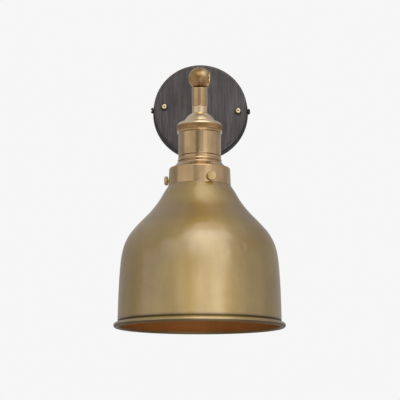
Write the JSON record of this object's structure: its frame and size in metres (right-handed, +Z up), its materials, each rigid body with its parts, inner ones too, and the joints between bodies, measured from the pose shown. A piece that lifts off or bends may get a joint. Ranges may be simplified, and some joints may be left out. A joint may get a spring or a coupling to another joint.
{
  "type": "wall lamp",
  "caption": "Wall lamp with a dark round wall plate, a straight brass arm, a tilting ball knuckle, a brass lampholder with a knurled ring and a spun brass bell shade held by thumb screws.",
  "frame": {"origin": "centre of the round wall plate on the wall plane", "axes": "+Y into the wall, -Y out into the room along the arm, +X to the right of a viewer facing the wall, +Z up"},
  "size_m": [0.1736, 0.2588, 0.3118],
  "materials": {
    "blackened_steel": "dark brushed pewter patina",
    "black_steel": "black oxide",
    "aged_brass": "satin aged brass, turned",
    "satin_brass": "satin antique brass, spun",
    "cast_brass": "aged cast brass",
    "bright_brass": "bright brass",
    "zinc_steel": "zinc plated",
    "black_rubber": "matt",
    "white_plastic": "matt",
    "lead_sheath": "matt",
    "porcelain": "glazed porcelain",
    "nickel": "satin nickel plate",
    "black_glass": "black glass",
    "clear_glass": "clear",
    "filament": "matt yellow"
  },
  "bodies": {
    "wall_mount": {"wall_bracket": "zinc_steel", "bracket_studs": "zinc_steel", "backplate_cover": "blackened_steel", "front_nuts": "bright_brass", "rim_screws": "black_steel", "inlet_grommet": "black_rubber", "terminal_block": "white_plastic", "terminal_screws": "zinc_steel", "terminal_fixing_screw": "zinc_steel", "earth_screw": "bright_brass", "earth_washer": "bright_brass", "arm_nipple": "zinc_steel", "arm_locknut": "zinc_steel", "arm_lock_washer": "zinc_steel", "arm_flange": "aged_brass", "arm_tube": "aged_brass", "arm_lead": "lead_sheath", "knuckle_fixed_half": "cast_brass", "pivot_screw": "cast_brass", "pivot_spring_washer": "zinc_steel"},
    "lamp_head": {"knuckle_moving_half": "cast_brass", "neck_tube": "aged_brass", "neck_nipple": "zinc_steel", "neck_grub_screw": "bright_brass", "lampholder_dome": "aged_brass", "knurled_ring": "aged_brass", "lampholder_sleeve": "aged_brass", "upper_shade_ring": "aged_brass", "gallery": "aged_brass", "lower_shade_ring": "aged_brass", "socket_insulator": "porcelain", "socket_screws": "bright_brass", "screw_shell": "bright_brass", "centre_contact": "bright_brass", "head_lead": "lead_sheath", "shade": "satin_brass", "bulb_cap": "nickel", "bulb_cap_insulator": "black_glass", "bulb_tip_contact": "nickel", "bulb_glass": "clear_glass", "bulb_stem": "clear_glass", "bulb_filament": "filament"},
    "thumb_screw_1": {"thumb_screw_1": "aged_brass"},
    "thumb_screw_2": {"thumb_screw_2": "aged_brass"},
    "thumb_screw_3": {"thumb_screw_3": "aged_brass"}
  },
  "joints": [
    {"name": "head_tilt", "type": "hinge", "parent": "wall_mount", "child": "lamp_head", "pos_m": [0, -0.172, 0], "axis": [-1, 0, 0], "range_deg": [-15, 90]},
    {"name": "thumb_travel_1", "type": "slide", "parent": "lamp_head", "child": "thumb_screw_1", "axis": [0.3567, -0.9342, 0], "range_m": [0, 0.003]},
    {"name": "thumb_travel_2", "type": "slide", "parent": "lamp_head", "child": "thumb_screw_2", "axis": [-0.9874, 0.1582, 0], "range_m": [0, 0.003]},
    {"name": "thumb_travel_3", "type": "slide", "parent": "lamp_head", "child": "thumb_screw_3", "axis": [0.6307, 0.776, 0], "range_m": [0, 0.003]}
  ]
}
